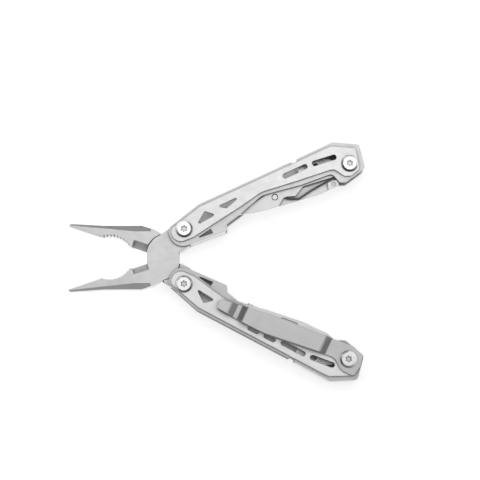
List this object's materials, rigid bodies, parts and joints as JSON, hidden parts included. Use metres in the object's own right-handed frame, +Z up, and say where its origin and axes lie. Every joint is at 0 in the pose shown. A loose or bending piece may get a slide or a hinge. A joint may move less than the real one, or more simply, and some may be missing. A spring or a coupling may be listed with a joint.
{
  "type": "folding multi tool",
  "caption": "Folding pocket multi tool with needle-nose pliers, vented sheet handles, outside-opening knife and scissors, inner tools and a clip.",
  "frame": {"origin": "middle of the open tool's outline, on the surface that it lies on", "axes": "+X from the jaws towards the handles' free ends, +Y towards the handle with the scissors, +Z up through the tool's thickness, out of its clip side"},
  "size_m": [0.141, 0.1138, 0.0172],
  "materials": {
    "plate": "bright bead-blasted stainless steel",
    "frame": "satin stainless sheet, folded",
    "head": "matt brushed stainless forging",
    "clip": "satin spring steel sheet",
    "screw": "polished stainless steel",
    "post": "turned stainless steel",
    "washer": "thin bronze washer",
    "blade": "ground and satin stainless steel",
    "tool": "stamped stainless steel",
    "spring": "blued spring steel"
  },
  "bodies": {
    "jaw_front": {"jaw_front": "head"},
    "jaw_pin": {"jaw_pivot_pin": "post"},
    "jaw_rear": {"jaw_rear": "head"},
    "upper_handle": {"upper_frame": "frame", "upper_rear_plate": "plate", "upper_front_plate": "plate", "upper_tang_post": "post", "upper_tang_screw": "screw", "upper_tail_post": "post", "upper_tail_screw": "screw", "upper_tang_washers": "washer", "upper_tool_washers": "washer"},
    "lower_handle": {"lower_frame": "frame", "lower_rear_plate": "plate", "lower_front_plate": "plate", "lower_tang_post": "post", "lower_tang_screw": "screw", "lower_tail_post": "post", "lower_tail_screw": "screw", "lower_tang_washers": "washer", "lower_tool_washers": "washer", "pocket_clip": "clip"},
    "scissors": {"scissors_blade": "blade", "scissors_rivet": "post", "scissors_spring": "spring"},
    "scissors_lever": {"scissors_lever": "blade"},
    "bottle_opener": {"bottle_opener": "tool"},
    "file": {"file": "tool"},
    "phillips_driver": {"phillips_driver": "tool"},
    "knife": {"knife_blade": "blade"},
    "can_opener": {"can_opener": "tool"},
    "saw": {"saw_blade": "tool"},
    "flat_driver": {"flat_driver": "tool"}
  },
  "joints": [
    {"name": "jaw_fold_close", "type": "hinge", "parent": "jaw_pin", "child": "jaw_front", "pos_m": [-0.02555, 0.0019, 0.0075], "axis": [0, 0, -1], "range_deg": [0, 36.9]},
    {"name": "jaw_squeeze", "type": "hinge", "parent": "jaw_pin", "child": "jaw_rear", "pos_m": [-0.02555, 0.0019, 0.0075], "axis": [0, 0, -1], "range_deg": [-36.9, 0]},
    {"name": "upper_fold", "type": "hinge", "parent": "jaw_front", "child": "upper_handle", "pos_m": [-0.01557, 0.01504, 0.0075], "axis": [0, 0, 1], "range_deg": [0, 174.21]},
    {"name": "lower_fold", "type": "hinge", "parent": "jaw_rear", "child": "lower_handle", "pos_m": [-0.01557, -0.01124, 0.0075], "axis": [0, 0, -1], "range_deg": [0, 171.11]},
    {"name": "scissors_out", "type": "hinge", "parent": "upper_handle", "child": "scissors", "pos_m": [0.0634, 0.04647, 0.0075], "axis": [0, 0, 1], "range_deg": [0, 180]},
    {"name": "scissors_lever_open", "type": "hinge", "parent": "scissors", "child": "scissors_lever", "pos_m": [0.02763, 0.03062, 0.0075], "axis": [0, 0, -1], "range_deg": [0, 20]},
    {"name": "bottle_opener_out", "type": "hinge", "parent": "upper_handle", "child": "bottle_opener", "pos_m": [0.0634, 0.04647, 0.0075], "axis": [0, 0, 1], "range_deg": [0, 180]},
    {"name": "file_out", "type": "hinge", "parent": "upper_handle", "child": "file", "pos_m": [0.0634, 0.04647, 0.0075], "axis": [0, 0, 1], "range_deg": [0, 180]},
    {"name": "phillips_driver_out", "type": "hinge", "parent": "upper_handle", "child": "phillips_driver", "pos_m": [0.0634, 0.04647, 0.0075], "axis": [0, 0, 1], "range_deg": [0, 180]},
    {"name": "knife_out", "type": "hinge", "parent": "lower_handle", "child": "knife", "pos_m": [0.06159, -0.0469, 0.0075], "axis": [0, 0, -1], "range_deg": [0, 180]},
    {"name": "can_opener_out", "type": "hinge", "parent": "lower_handle", "child": "can_opener", "pos_m": [0.06159, -0.0469, 0.0075], "axis": [0, 0, -1], "range_deg": [0, 180]},
    {"name": "saw_out", "type": "hinge", "parent": "lower_handle", "child": "saw", "pos_m": [0.06159, -0.0469, 0.0075], "axis": [0, 0, -1], "range_deg": [0, 180]},
    {"name": "flat_driver_out", "type": "hinge", "parent": "lower_handle", "child": "flat_driver", "pos_m": [0.06159, -0.0469, 0.0075], "axis": [0, 0, -1], "range_deg": [0, 180]}
  ],
  "couplings": [
    {"joint": "jaw_fold_close", "follows": "upper_fold", "ratio": 0.21181},
    {"joint": "lower_fold", "follows": "upper_fold", "ratio": 0.9822}
  ]
}
